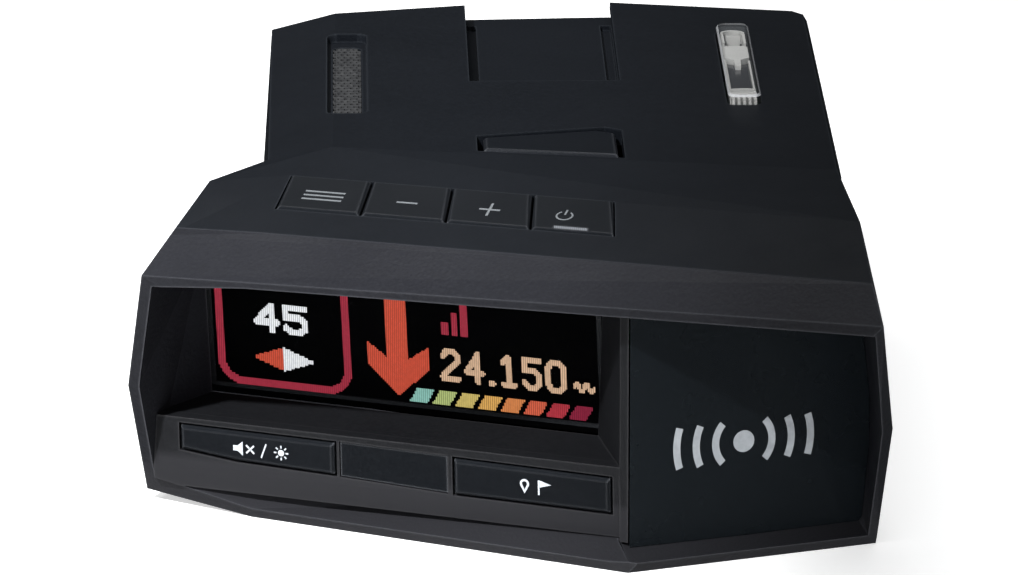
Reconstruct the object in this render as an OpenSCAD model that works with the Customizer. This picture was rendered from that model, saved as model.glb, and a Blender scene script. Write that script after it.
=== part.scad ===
// Windscreen radar detector: a two-part case, a hooded front bezel with a slanted
// colour display, six push keys, a bracket slot with a wedge release button,
// a speaker slot, a clear laser lens and the electronics inside.
// +Z is up, the display faces -Y and the windscreen is on the +Y side.
// The origin is at the bottom centre of the object's box.

/* [Case] */
// Half of the widest width, at the bulge of the hood's rims
half_w = 40; // [39:0.5:41]
// Height of the flat top above the bottom
top_z = 36.7; // [36:0.1:38]
// Height of the parting plane, where the sides bulge most
seam_z = 15; // [14:0.5:16]
// Case wall thickness
wall = 1.8; // [1.5:0.1:2.2]
// Furthest forward point, the right tip of the hood
front_y = -55; // [-56:0.5:-54]
// Furthest back point, the middle of the nose
rear_y = 55; // [54:0.5:56]
// Half width of the flat top behind the neck
rear_half_w = 30.2; // [29.5:0.1:31]
// Centre line of the rear body and of all that lies on its top
mid_x = 5.1; // [4.5:0.1:5.5]

/* [Hood] */
// Height of the hood's front lip
lip_z = 29.3; // [28.5:0.1:30]
// Height of the lip's front face
lip_h = 1.2; // [0.8:0.1:1.6]
// Height of the crease between the band and the key facet
band_z = 32.5; // [32:0.1:33]
// Height of the crease behind the top keys
crease_z = 35.4; // [35:0.1:35.8]
// Turn of the hood's creases, seen from above
hood_turn = 17.8; // [17:0.1:18.5]
// Drop of the left side facet below the main creases
side_drop = 1.2; // [0.8:0.1:1.4]
// Backward lean of the seam behind the bezel
bezel_lean = 27; // [24:1:30]

/* [Front] */
// Turn of the display and front keys, seen from above
face_turn = 22; // [21:0.5:23]
// Forward lean of the display
display_lean = 7; // [5:0.5:8]
// Turn of the blank right-hand panel, seen from above
panel_turn = 20; // [19:0.5:21]
// Depth of the ledge in front of the display
ledge_d = 9.6; // [9:0.1:10]
// Visible width of the display window
window_w = 44; // [43:0.5:45]
// Height of the front key face
face_h = 6.8; // [6.5:0.1:7.1]

/* [Keys] */
// Gap around each key
key_gap = 0.25; // [0.2:0.05:0.3]
// Travel of the four top keys
top_travel = 0.6; // [0.4:0.1:0.8]
// Travel of the two front keys
front_travel = 0.6; // [0.4:0.1:0.8]
// Depth of the top key row, along the facet
key_d = 7.4; // [7:0.1:8]
// How far the keys stand proud of their facets
key_proud = 0.3; // [0.1:0.1:0.5]

/* [Bracket slot] */
// Visible width of the bracket slot
slot_w = 16.6; // [16:0.2:17]
// Depth of the slot floor below the top
slot_deep = 2; // [1.8:0.1:2.2]
// Thickness of the lips over the side grooves
slot_lip = 0.9; // [0.8:0.05:1]
// Reach of the side grooves under the lips
slot_groove = 1; // [0.8:0.1:1.2]
// Front end of the slot
slot_front_y = 15.2; // [15:0.1:16]
// Travel of the release button and its latch
release_travel = 1.5; // [1.2:0.1:1.6]

/* [Hidden] */
$fn = 48;

eps = 0.01;
big = 200;
// Walls of the windows, and the case skin left where they run along it
window_wall = 1;
skin = 0.8;
// Clearance round the pieces set into the windows
fit = 0.03;

// Centre lines and sizes of what lies along the flat top
slot_mid_x = mid_x + 0.1;
slot_channel_w = 1.2;
slot_channel_h = 0.6;
slot_channel_l = 31.5;
latch_w = 6;
speaker_x = mid_x - 21.7;
speaker_y = 19;
mesh_y = 18.6;
mesh_w = 3.1;
mesh_l = 30;
driver_y = 18.2;
driver_w = 10;
driver_l = 31;
lens_x = mid_x + 21.7;
lens_y = 20.2;
lens_w = 3.8;
lens_l = 31.4;
nose_window_w = 38;
nose_window_h = 11;
// Outer face of the sockets
jack_face_x = mid_x + rear_half_w - 0.6;
// The main board, and the posts under it. Case screws run up through the corner posts
// and the board into the top bosses.
board_z = 12.4;
board_t = 1.6;
post_pts = [[-18, -2.6], [28, -2], [-18, 37], [20, 38]];
board_post_pts = [[-14, 30], [16, 20]];

// ---- case corner points, front to back ----
lip_pts = [[-38.3, -32.8, lip_z - 0.6], [-27.5, -34.1, lip_z], [12, -47.2, lip_z],
    [38.2, front_y, lip_z]];
band_pts = [[-35.3, -28.6, band_z - 0.6], [-25.5, -30.4, band_z], [12, -42.7, band_z],
    [37.3, -50.6, band_z]];
crease_pts = [[-31.3, -17.3, crease_z - 0.8], [-22.8, -18.2, crease_z],
    [36.8, -37.4, crease_z]];
neck_pts = [[mid_x - rear_half_w, -12.3, top_z - side_drop], [-18.2, -11.6, top_z],
    [mid_x + rear_half_w, -21.8, top_z]];
rim_pts = [[-half_w, -27.4, seam_z], [half_w, -44.5, seam_z]];
chin_pts = [[-38.3, -20.6, 1.3], [-27, -26.7, 0], [12.4, -46.4, 0], [38.9, -37, 0]];
chin_edge_pts = [[-38.4, -21, 2.2], [-27, -26.9, 0.8], [12.4, -46.4, 0.9], [39, -37.4, 0.9]];
// Flanks behind the rims, where the head narrows to the rear body
flank_pts = [[-36.8, -15.2, seam_z], [-35.2, -14.6, 27.5], [39.7, -31, seam_z],
    [38, -30.5, 27], [38, -30, 0]];

// Rear body: the flat top, the bulge at the parting plane, the nose and the bottom
seam_half_w = rear_half_w + 1.4;
bottom_half_w = rear_half_w - 1.2;
top_rear_pts = [[mid_x - rear_half_w, 42.6, top_z - side_drop], [-17.9, 45.2, top_z],
    [-3.1, 48.6, top_z], [13.5, 49.5, top_z], [mid_x + rear_half_w - 1.2, 45.2, top_z],
    [mid_x + rear_half_w, 43.6, top_z]];
right_chamfer_pts = [[mid_x + rear_half_w + 0.5, 44, top_z - 0.9],
    [mid_x + rear_half_w + 0.5, -21.6, top_z - 0.9]];
nose_pts = [[mid_x - seam_half_w + 1, 46.5, 22], [-17, 52.5, 24], [-3, rear_y - 0.4, 25],
    [13.2, rear_y, 25], [27.2, 52.5, 24], [mid_x + seam_half_w - 1, 46.5, 22]];
seam_rear_pts = [[mid_x - seam_half_w, 42, seam_z], [-17, 50, seam_z],
    [-3, 52.4, seam_z], [13.2, 52.4, seam_z], [27.2, 50, seam_z],
    [mid_x + seam_half_w, 42, seam_z]];
bottom_rear_pts = [[mid_x - bottom_half_w, 38, 0], [-17, 43, 0], [27.2, 43, 0],
    [mid_x + bottom_half_w, 38, 0]];
seam_front_pts = [[mid_x - seam_half_w, -4, seam_z], [mid_x + seam_half_w, -22, seam_z]];
bottom_front_pts = [[mid_x - bottom_half_w, -4, 0], [mid_x + bottom_half_w, -20, 0]];

head_pts = concat(lip_pts, band_pts, crease_pts, neck_pts, rim_pts, chin_pts,
    chin_edge_pts, flank_pts, seam_front_pts, bottom_front_pts);
rear_pts = concat(neck_pts, top_rear_pts, right_chamfer_pts, nose_pts, seam_rear_pts,
    bottom_rear_pts, seam_front_pts, bottom_front_pts);

// ---- outlines ----
// The middle of an outline's box
function middle(pts) = [for (k = [0, 1])
    (min([for (p = pts) p[k]]) + max([for (p = pts) p[k]])) / 2];

// A convex outline made smaller by g along each axis
function inset_2d(pts, g) = let (c = middle(pts))
    [for (p = pts) [p.x + (p.x > c.x ? -g : g), p.y + (p.y > c.y ? -g : g)]];

function rect(x0, x1, z0, z1) = [[x0, z0], [x1, z0], [x1, z1], [x0, z1]];

// A flat outline lifted to height z, and an upright one set at depth y
function at_height(pts, z) = [for (p = pts) [p.x, p.y, z]];
function at_depth(pts, y) = [for (p = pts) [p.x, y, p.y]];

// ---- local frames ----
// A local point carried to the object's frame: leaned about X, turned about Z, then moved.
function placed(p, turn, lean, origin) =
    let (y = p.y * cos(lean) - p.z * sin(lean), z = p.y * sin(lean) + p.z * cos(lean))
    origin + [p.x * cos(turn) + y * sin(turn), y * cos(turn) - p.x * sin(turn), z];

facet_origin = [-22.8, -18.2, crease_z];
facet_tilt = atan((crease_z - band_z) / 11.5);
face_origin = [12.1, -42.9, 3.7];
face_lean = 3;
display_origin = [-31.3, -15.3, 10.6];
glass_pts = rect(-0.6, window_w + 0.6, 0.1, 17.2);
panel_origin = [13.1, -43.5, 2.7];

function on_face(p) = placed(p, face_turn, face_lean, face_origin);
function on_display(p) = placed(p, face_turn, display_lean, display_origin);
function on_panel(p) = placed(p, -panel_turn, 0, panel_origin);

module in_frame(turn, lean, origin) {
    translate(origin)
        rotate([0, 0, -turn])
            rotate([lean, 0, 0])
                children();
}

// Key facet of the hood: x along the crease, y back, z out of the facet.
module facet_frame() {
    in_frame(hood_turn, facet_tilt, facet_origin)
        children();
}

// Front key face: x to the right along the foot, y into the object, z up the face.
module face_frame() {
    in_frame(face_turn, face_lean, face_origin)
        children();
}

// Display: x to the right along its bottom edge, y into the object, z up the glass.
module display_frame() {
    in_frame(face_turn, display_lean, display_origin)
        children();
}

// Blank panel: x to the right along its foot, y into the object, z up the panel.
module panel_frame() {
    in_frame(-panel_turn, 0, panel_origin)
        children();
}

// ---- the two windows through the bezel, left and right of the apex ----
ceiling_z = lip_z - lip_h;
apex_x = 12.9;
left_rim_pts = [[-37.5, -33.7, ceiling_z - 0.6], [-27.5, -34.7, ceiling_z],
    [apex_x, -48, ceiling_z], [-38.8, -27.8, seam_z], [-37.4, -22.2, 3.2],
    [-27, -27.2, 1.1], [apex_x, -46.8, 1.2]];
left_depth_pts = [on_display([0, 0, 0]), on_display([0, 0, 17]), on_display([46.8, 0, 17]),
    on_display([46.8, 0, 0]), on_face([-51.3, 0, 3.1]), on_face([-44, 0, 2.1]),
    on_face([-19, 0, 1.3]), on_face([0.8, 0, 1]), on_face([-50.6, 6.5, 3.5]),
    on_face([-39.6, 6.5, 2.2]), on_face([0.8, 6.5, 1.2])];
right_rim_pts = [[apex_x - 0.4, -48.2, ceiling_z], [37.4, -55.2, ceiling_z],
    [38.8, -45, seam_z], [38, -37.8, 1.2], [apex_x - 0.4, -46.6, 1.2]];
right_depth_pts = [on_panel([-0.7, 0, -0.2]), on_panel([26.1, 0, -0.5]),
    on_panel([26.8, 0, 7.5]), on_panel([26.8, 0, 12.6]), on_panel([25.4, 0, 25.4]),
    on_panel([-0.7, 0, 25.4]), on_panel([-0.7, 3, -0.2]), on_panel([26.1, 3, -0.5]),
    on_panel([26.8, 3, 12.6]), on_panel([25.4, 3, 25.4]), on_panel([-0.7, 3, 25.4])];

function moved_forward(pts, d) = [for (p = pts) [p.x, p.y - d, p.z]];

// Moves a corner towards the inside by w along each axis.
function inset(p, w, c) = [p.x + (p.x > c.x ? -w : w), p.y + (p.y > c.y ? -w : w),
    p.z + (p.z > c.z ? -w : w)];
function inset_all(pts, w, c) = [for (p = pts) inset(p, w, c)];

// Centres that walls are measured towards. The rear body's lies far forward, so that its
// inside runs on into the head's.
head_centre = [0, -18, 17];
rear_centre = [mid_x, -40, 17];

// The convex solid around a list of points.
module solid_of(pts) {
    hull() polyhedron(points = pts, faces = [[for (i = [0:len(pts) - 1]) i]]);
}

module case_outside() {
    solid_of(head_pts);
    solid_of(rear_pts);
}

module case_inside() {
    solid_of(inset_all(head_pts, wall, head_centre));
    solid_of(inset_all(rear_pts, wall, rear_centre));
}

// Everything in front of the slanted seam behind the bezel, moved back by shift.
module before_bezel_seam(shift = 0) {
    translate([-25.5, -30.2 + shift, band_z])
        rotate([0, 0, -hood_turn])
            rotate([bezel_lean, 0, 0])
                translate([-big / 2, -big, -big / 2])
                    cube([big, big, big]);
}

module left_window(w = 0) {
    solid_of(inset_all(concat(left_rim_pts, moved_forward(left_rim_pts, 12), left_depth_pts),
        -w, [-8, -30, 15]));
}

module right_window(w = 0) {
    solid_of(inset_all(concat(right_rim_pts, moved_forward(right_rim_pts, 12), right_depth_pts),
        -w, [25, -38, 15]));
}

// A plate drawn in a local XZ plane, from y0 back to y1.
module upright(y0, y1, pts) {
    translate([0, y1, 0])
        rotate([90, 0, 0])
            linear_extrude(y1 - y0)
                polygon(pts);
}

module box_at(a, b) {
    translate(a)
        cube(b - a);
}

// A slot outline of width w and length l along Y, its corners rounded to radius r.
module rounded(w, l, r = 1.1) {
    for (x = [r - w / 2, w / 2 - r], y = [r - l / 2, l / 2 - r])
        translate([x, y])
            circle(r = r);
    square([w, l - 2 * r], center = true);
    square([w - 2 * r, l], center = true);
}

// ---- top key row ----
// Side lines of the row at the rear crease and at the front edge of the keys
key_rear_x = [0.2, 9.3, 18.2, 27.1, 36];
key_front_x = [0.7, 10.1, 19.5, 28.8, 38.1];
key_skirt = 1.8;
key_stem = 0.3;
key_chamfer = 0.3;

// Outline of key i, made smaller all round by g, and the place of its stem
function key_outline(i, g) = [[key_front_x[i] + g, g - key_d],
    [key_front_x[i + 1] - g, g - key_d], [key_rear_x[i + 1] - g, -g], [key_rear_x[i] + g, -g]];
function key_stem_x(i) = (key_front_x[i] + key_front_x[i + 1]
    + key_rear_x[i] + key_rear_x[i + 1]) / 4;

module key_row_hole() {
    linear_extrude(8, center = true)
        polygon([[key_front_x[0], -key_d], [key_front_x[4], -key_d],
            [key_rear_x[4], 0], [key_rear_x[0], 0]]);
}

// A cap with a bevelled top and one stem above its switch.
module top_key(i) {
    facet_frame() {
        solid_of(concat(at_height(key_outline(i, key_gap / 2), -key_skirt),
            at_height(key_outline(i, key_gap / 2), key_proud - key_chamfer),
            at_height(key_outline(i, key_gap / 2 + key_chamfer), key_proud)));
        translate([key_stem_x(i), -key_d / 2, -key_skirt - key_stem])
            cylinder(d = 2.4, h = key_stem + 0.5);
    }
}

// ---- front keys ----
left_key_pts = [[-50.4, 3.1], [-43.9, 2.4], [-32.3, 2.1], [-32.3, 6.1], [-50.4, 6.2]];
plate_pts = [[-32, 2.1], [-19.7, 1.6], [-19.7, 5.9], [-32, 6.1]];
right_key_pts = [[-19.2, 1.5], [-1.2, 1.4], [-1.2, 5.7], [-19.2, 5.9]];

function stem_x(pts) = max([for (p = pts) p.x]) - 9;

module front_key(pts) {
    face_frame() {
        solid_of(concat(at_depth(inset_2d(pts, key_gap + key_chamfer), -key_proud),
            at_depth(inset_2d(pts, key_gap), key_chamfer - key_proud),
            at_depth(inset_2d(pts, key_gap), 2.4)));
        translate([stem_x(pts), 2.7, 3.8])
            rotate([90, 0, 0])
                cylinder(d = 2, h = 0.6);
    }
}

// ---- release button ----
wedge_left_x = -2.7;
wedge_right_x = 13;
wedge_front_y = -16.7;

// The button's outline, made smaller by s at its ends and by g at its front and rear
function wedge_outline(s = 0, g = 0) = [[wedge_left_x + s, -13.6 + g],
    [wedge_right_x - s, wedge_front_y + g], [wedge_right_x - s, -5.4 - g],
    [11.2 - s, -4.2 - g], [wedge_left_x + s, -7.4 - g]];

// The same outline on the button's ramp, which stands proud in front and sinks to the rear
function on_ramp(pts, z) = [for (p = pts) [p.x, p.y, z - 0.05 * (p.y - wedge_front_y)]];

// ---- shells ----
module bracket_slot() {
    translate([slot_mid_x - slot_w / 2, slot_front_y, top_z - slot_deep])
        cube([slot_w, 60, 10]);
    translate([slot_mid_x - slot_w / 2 - slot_groove, slot_front_y, top_z - slot_deep])
        cube([slot_w + 2 * slot_groove, 60, slot_deep - slot_lip]);
    // shallow channels in the floor, along both sides
    for (x = [slot_mid_x - slot_w / 2, slot_mid_x + slot_w / 2 - slot_channel_w])
        translate([x, slot_front_y, top_z - slot_deep - slot_channel_h])
            cube([slot_channel_w, slot_channel_l, 1]);
}

// Room for the display stack and for the window walls where they run inside the case walls.
module window_relief() {
    display_frame()
        translate([-0.9, -0.2, -0.2])
            cube([window_w + 1.8, 4.7, 17.7]);
    intersection() {
        solid_of(inset_all(head_pts, skin - 0.06, head_centre));
        union() {
            left_window(window_wall + 0.06);
            right_window(window_wall + 0.06);
        }
    }
}

// The button's hole, and the latch's way up through the slot floor.
module release_hole() {
    translate([0, 0, top_z - 5])
        linear_extrude(10)
            polygon(wedge_outline());
    box_at([slot_mid_x - latch_w / 2 - 0.3, slot_front_y - 2.1, top_z - 8],
        [slot_mid_x + latch_w / 2 + 0.3, slot_front_y + 3.2, top_z - slot_deep + eps]);
    box_at([slot_mid_x - latch_w / 2 - 0.3, slot_front_y - 2.1, top_z - 8],
        [slot_mid_x + latch_w / 2 + 0.3, slot_front_y + 1, top_z - slot_lip]);
}

// A slot with a wider recessed edge.
module speaker_slot() {
    translate([speaker_x, speaker_y, top_z - 1])
        linear_extrude(4)
            rounded(4.4, 34);
    translate([speaker_x, mesh_y, top_z - 5])
        linear_extrude(8)
            rounded(mesh_w + 0.1, mesh_l + 0.1);
}

module upper_case() {
    color("#23272b")
    difference() {
        intersection() {
            case_outside();
            translate([-big / 2, -big / 2, seam_z])
                cube([big, big, big]);
        }
        difference() {
            case_inside();
            translate([slot_mid_x - slot_w / 2 - 3, slot_front_y - 2, top_z - slot_deep - 1.6])
                cube([slot_w + 6, 60, 10]);
            for (p = post_pts)
                translate([p.x, p.y, board_z + board_t + 0.02])
                    cylinder(d = 6, h = top_z - board_z - board_t - 1.2);
        }
        for (p = post_pts)
            translate([p.x, p.y, board_z])
                cylinder(d = 2.44, h = 10);
        before_bezel_seam();
        window_relief();
        bracket_slot();
        facet_frame()
            key_row_hole();
        release_hole();
        speaker_slot();
        translate([lens_x, lens_y, top_z - 5])
            linear_extrude(10)
                rounded(lens_w, lens_l);
        nose_cut();
    }
}

// Opening of the nose window in the windscreen side, made smaller all round by g.
module nose_cut(g = 0) {
    translate([mid_x, rear_y - 8, 25])
        rotate([0, 90, 90])
            linear_extrude(20)
                square([nose_window_h - 2 * g, nose_window_w - 2 * g], center = true);
}

module lower_case() {
    color("#202327")
    difference() {
        union() {
            difference() {
                intersection() {
                    case_outside();
                    translate([-big / 2, -big / 2, seam_z - big])
                        cube([big, big, big]);
                }
                case_inside();
                before_bezel_seam();
                window_relief();
            }
            for (p = post_pts)
                translate([p.x, p.y, wall - eps])
                    cylinder(d = 6.4, h = board_z - wall);
            for (p = board_post_pts)
                translate([p.x, p.y, wall - eps])
                    cylinder(d = 4.6, h = board_z - wall);
        }
        for (p = post_pts) {
            translate([p.x, p.y, -1])
                cylinder(d = 2.6, h = 20);
            translate([p.x, p.y, -1])
                cylinder(d = 4.8, h = 3.4);
        }
        for (p = board_post_pts)
            translate([p.x, p.y, 6])
                cylinder(d = 2.04, h = 10);
        power_hole();
        audio_hole();
        usb_hole();
        translate([mid_x, 14, -0.1])
            linear_extrude(0.3)
                square([34, 22], center = true);
    }
}

// The part of a window's wall that stays inside the case's skin.
module within_skin() {
    intersection() {
        solid_of(inset_all(head_pts, skin, head_centre));
        children();
    }
}

module front_bezel() {
    color("#363a40")
    difference() {
        union() {
            difference() {
                intersection() {
                    solid_of(head_pts);
                    before_bezel_seam();
                }
                solid_of(inset_all(head_pts, wall, head_centre));
            }
            within_skin()
                left_window(window_wall);
            within_skin()
                right_window(window_wall);
        }
        left_window();
        right_window();
        display_frame()
            translate([-3, 0, -1.3])
                cube([50.5, 30, 18.9]);
        panel_frame()
            translate([-0.4, 2, 1])
                cube([24, 20, 22]);
    }
}

// ---- front pieces ----
module display_shroud() {
    color("#1b1e22")
    difference() {
        intersection() {
            left_window(-fit);
            union() {
                face_frame()
                    upright(0, 1.6, [[-56, -1], [0, -1], [0, face_h], [-56, face_h]]);
                // ledge in front of the display
                translate([face_origin.x, face_origin.y, face_origin.z + face_h - 1.2])
                    rotate([0, 0, -face_turn])
                        linear_extrude(1.2)
                            polygon([[-56, 0], [0.3, 0], [-5.7, ledge_d], [-56, ledge_d]]);
                // right-hand wall of the recess, and its ridge beside the panel
                translate([face_origin.x, face_origin.y, face_origin.z - 3])
                    rotate([0, 0, -face_turn])
                        linear_extrude(4 + face_h)
                            polygon([[-0.4, -0.35], [0.6, -0.45], [0.1, 0.9], [-0.4, 1.2]]);
                translate([face_origin.x, face_origin.y, face_origin.z + face_h - 1.2])
                    rotate([0, 0, -face_turn])
                        linear_extrude(30)
                            polygon([[-0.4, -0.35], [0.6, -0.45], [0.1, 0.9], [-5.7, ledge_d],
                                [-6.5, ledge_d]]);
            }
        }
        face_frame() {
            upright(-1, 3.4, left_key_pts);
            upright(-1, 3.4, plate_pts);
            upright(-1, 3.4, right_key_pts);
        }
    }
}

module side_panel() {
    color("#14171a")
    intersection() {
        right_window(-fit);
        panel_frame()
            translate([0, 0, -3])
                linear_extrude(30)
                    polygon([[-0.5, 0], [30, 0], [30, 1.3], [0.35, 1.3]]);
    }
}

module display_window() {
    color("#0a0a0c")
    display_frame()
        upright(0, 1.2, glass_pts);
}

module display_panel() {
    color("#050506")
    display_frame()
        upright(1.4, 2.8, rect(0, window_w, 0.6, 16.8));
}

module display_holder() {
    color("#2a2d31")
    display_frame()
        difference() {
            upright(1.3, 4.2, glass_pts);
            upright(1, 2.9, rect(-0.05, window_w + 0.05, 0.55, 16.85));
            upright(2, 5, rect(16, 28, 4, 12));
        }
}

module display_flex() {
    color("#b5762a")
    display_frame()
    {
        upright(2.9, 15.5, rect(17, 27, 6, 6.3));
        upright(15.2, 15.5, rect(17, 27, 1.6, 6.3));
    }
}

module centre_plate() {
    color("#17191c")
    face_frame()
        upright(0.15, 1.6, inset_2d(plate_pts, 0.05));
}

module mute_key() {
    color("#101214")
    front_key(left_key_pts);
}

module mark_key() {
    color("#101214")
    front_key(right_key_pts);
}

module front_key_board() {
    color("#1f6b3a")
    face_frame()
        upright(5, 5.8, rect(-46, -3, 2.9, 5.2));
}

module front_key_switches() {
    color("#c9ccd0")
    face_frame()
        for (pts = [left_key_pts, right_key_pts])
            upright(3.4, 5, rect(stem_x(pts) - 1.5, stem_x(pts) + 1.5, 2.9, 5.1));
}

// ---- top keys ----
module menu_key() {
    color("#26292e")
    top_key(0);
}

module minus_key() {
    color("#26292e")
    top_key(1);
}

module plus_key() {
    color("#26292e")
    top_key(2);
}

light_bar_pts = [[31.3, -6.8], [34.9, -6.8], [34.8, -6.4], [31.2, -6.4]];

module power_key() {
    color("#26292e")
    difference() {
        top_key(3);
        facet_frame()
            translate([0, 0, -1])
                linear_extrude(3)
                    polygon(light_bar_pts);
    }
}

module power_light_bar() {
    color("#d8dde2")
    facet_frame()
        translate([0, 0, -1])
            linear_extrude(1 + key_proud)
                polygon(light_bar_pts);
}

module top_key_board() {
    color("#1f6b3a")
    facet_frame()
        translate([2, -6.2, -key_skirt - 2.3])
            cube([33.4, 5, 0.6]);
}

module top_key_switches() {
    color("#c9ccd0")
    facet_frame()
        for (i = [0:3])
            translate([key_stem_x(i) - 1.6, -key_d / 2 - 1.6, -key_skirt - 1.7])
                cube([3.2, 3.2, 0.7]);
}

// ---- release ----
module release_button() {
    color("#202428")
    solid_of(concat(at_height(wedge_outline(0.7, 0.3), top_z - 2.6),
        on_ramp(wedge_outline(0.7, 0.3), top_z + 0.05),
        on_ramp(wedge_outline(1, 0.6), top_z + 0.35)));
}

module release_latch() {
    color("#2b2f33")
    {
        box_at([slot_mid_x - latch_w / 2, -12, top_z - 4.4],
            [slot_mid_x + latch_w / 2, slot_front_y + 2.8, top_z - 2.6]);
        box_at([slot_mid_x - latch_w / 2, slot_front_y + 0.4, top_z - 2.6 - eps],
            [slot_mid_x + latch_w / 2, slot_front_y + 2.8, top_z - slot_lip - 0.1]);
    }
}

// A round wire wound into a helix that climbs along +Z.
module coil(radius, wire, turns, pitch) {
    steps = 16;
    sides = 8;
    last = turns * steps;
    points = [for (i = [0:last], j = [0:sides - 1])
        let (turn = 360 * i / steps, side = 360 * j / sides, r = radius + wire / 2 * cos(side))
        [r * cos(turn), r * sin(turn), pitch * i / steps + wire / 2 * sin(side)]];
    walls = [for (i = [0:last - 1], j = [0:sides - 1])
        let (k = (j + 1) % sides)
        [i * sides + j, (i + 1) * sides + j, (i + 1) * sides + k, i * sides + k]];
    ends = [[for (j = [0:sides - 1]) j], [for (j = [sides - 1:-1:0]) last * sides + j]];
    polyhedron(points = points, faces = concat(walls, ends));
}

module release_spring() {
    color("#b9bdc2")
    translate([slot_mid_x, -9, top_z - 8.2])
        coil(1.8, 0.5, 4, 0.85);
}

// Pillar on the board that the spring stands on.
module spring_post() {
    color("#2b2f33")
    translate([slot_mid_x, -9, board_z + board_t + 0.02])
        linear_extrude(top_z - 8.5 - board_z - board_t)
            square([5.4, 5.4], center = true);
}

// ---- speaker ----
module speaker_mesh() {
    color("#0e0f10")
    translate([speaker_x, mesh_y, top_z - 1.5])
        linear_extrude(0.4)
            rounded(mesh_w, mesh_l);
}

module speaker_gasket() {
    color("#101010")
    translate([speaker_x, driver_y, top_z - 4.2])
        linear_extrude(1.3)
            difference() {
                rounded(driver_w, driver_l);
                rounded(driver_w - 4, driver_l - 3);
            }
}

module speaker_driver() {
    color("#5a5f66")
    {
        translate([speaker_x, driver_y, top_z - 6.7])
            linear_extrude(2.48)
                rounded(driver_w, driver_l);
        translate([speaker_x, driver_y, top_z - 9])
            cylinder(d = 9, h = 2.4);
    }
}

// ---- laser lens ----
module laser_lens() {
    color("#dfe7ee")
    difference() {
        union() {
            translate([lens_x, lens_y, top_z - 2.6])
                linear_extrude(2.6 + 1.1)
                    rounded(lens_w - 0.2, lens_l - 0.2);
            translate([lens_x, lens_y, top_z - 3])
                linear_extrude(1)
                    rounded(lens_w + 2.4, lens_l + 2);
        }
        translate([lens_x, lens_y - 6, top_z - 4])
            cylinder(d = 2.2, h = 3);
    }
}

module laser_sensor() {
    color("#1a1420")
    translate([lens_x, lens_y - 6, top_z - 5.4])
        cylinder(d = 2, h = 3.8);
}

module laser_board() {
    color("#1f6b3a")
    box_at([lens_x - 4, lens_y - 14, top_z - 6.4], [lens_x + 4, lens_y + 14, top_z - 5.4]);
}

module nose_window() {
    color("#241014")
    intersection() {
        difference() {
            solid_of(rear_pts);
            solid_of(inset_all(rear_pts, 1.4, rear_centre));
        }
        nose_cut(0.1);
    }
}

// ---- electronics ----
module main_board() {
    color("#1f6b3a")
    difference() {
        box_at([-20, -11.6, board_z + 0.02], [30, 40, board_z + board_t]);
        for (p = post_pts)
            translate([p.x, p.y, board_z - 1])
                cylinder(d = 2.8, h = 4);
        for (p = board_post_pts)
            translate([p.x, p.y, board_z - 1])
                cylinder(d = 2.3, h = 4);
    }
}

module shield_can() {
    color("#b9bdc2")
    box_at([-12, -5.8, board_z + board_t + 0.02], [18, 12, board_z + 5]);
}

// The corners of a w by h rectangle standing across Y at depth y
function ends(w, h, y) = [for (c = [[-1, -1], [1, -1], [1, 1], [-1, 1]])
    [c.x * w / 2, y, c.y * h / 2]];

// A flared feed horn with its mouth on the +Y side, open along its length.
module horn(w0, w1, h0, h1, l, t = 1) {
    difference() {
        solid_of(concat(ends(w0, h0, 0), ends(w1, h1, l)));
        solid_of(concat(ends(w0 - 2 * t, h0 - 2 * t, 2 * t),
            ends(w1 - 2 * t, h1 - 2 * t, l + t)));
    }
}

module forward_horn() {
    color("#9a9fa5")
    translate([mid_x, 26, 21.2])
        horn(12, 26, 8, 13, 22);
}

module rearward_horn() {
    color("#9a9fa5")
    translate([24.5, -8, 19.4])
        rotate([0, 0, 180])
            horn(8, 16, 7, 10, 20);
}

module gps_antenna() {
    color("#c8b48a")
    box_at([-18, 12.5, board_z + board_t + 0.02], [-6, 24.5, board_z + 5.6]);
}

// ---- sockets on the right-hand side ----
module power_hole() {
    box_at([20, 14.8, 2.6], [50, 25.2, 10.4]);
}

module audio_hole() {
    translate([20, 6, 7])
        rotate([0, 90, 0])
            cylinder(d = 7, h = 30);
}

module usb_hole() {
    box_at([20, 29.6, 5.4], [50, 37.8, 10.2]);
}

module power_jack() {
    color("#111214")
    difference() {
        box_at([21, 15, 2.8], [jack_face_x, 25, 10.2]);
        box_at([24, 16.2, 3.8], [40, 23.8, 9.2]);
        box_at([24, 18, 2.6], [40, 22, 4]);
    }
}

module audio_jack() {
    color("#1a1b1d")
    translate([22, 6, 7])
        rotate([0, 90, 0])
            difference() {
                cylinder(d = 6.8, h = jack_face_x - 22);
                translate([0, 0, 1])
                    cylinder(d = 3.6, h = 20);
            }
}

module usb_port() {
    color("#b9bdc2")
    difference() {
        box_at([26, 29.8, 5.6], [jack_face_x, 37.6, 10]);
        box_at([27, 30.3, 6.1], [40, 37.1, 9.5]);
    }
}

// ---- fasteners and label ----
// A screw pointing up, its slotted head at z 0.
module screw(head_d, head_h, d, l) {
    difference() {
        cylinder(d = head_d, h = head_h);
        translate([-head_d, -0.4, -eps])
            cube([2 * head_d, 0.8, head_h / 2]);
    }
    translate([0, 0, head_h - eps])
        cylinder(d = d, h = l);
}

module case_screws() {
    color("#3a3d41")
    for (p = post_pts)
        translate([p.x, p.y, 0.6])
            screw(4.4, 1.78, 2.4, 18);
}

module board_screws() {
    color("#b9bdc2")
    for (p = board_post_pts)
        translate([p.x, p.y, board_z + board_t + 1.22])
            mirror([0, 0, 1])
                screw(3.8, 1.2, 2, 6);
}

module rating_label() {
    color("#c4c7ca")
    translate([mid_x, 14, 0.02])
        linear_extrude(0.16)
            square([33.6, 21.6], center = true);
}

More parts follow.
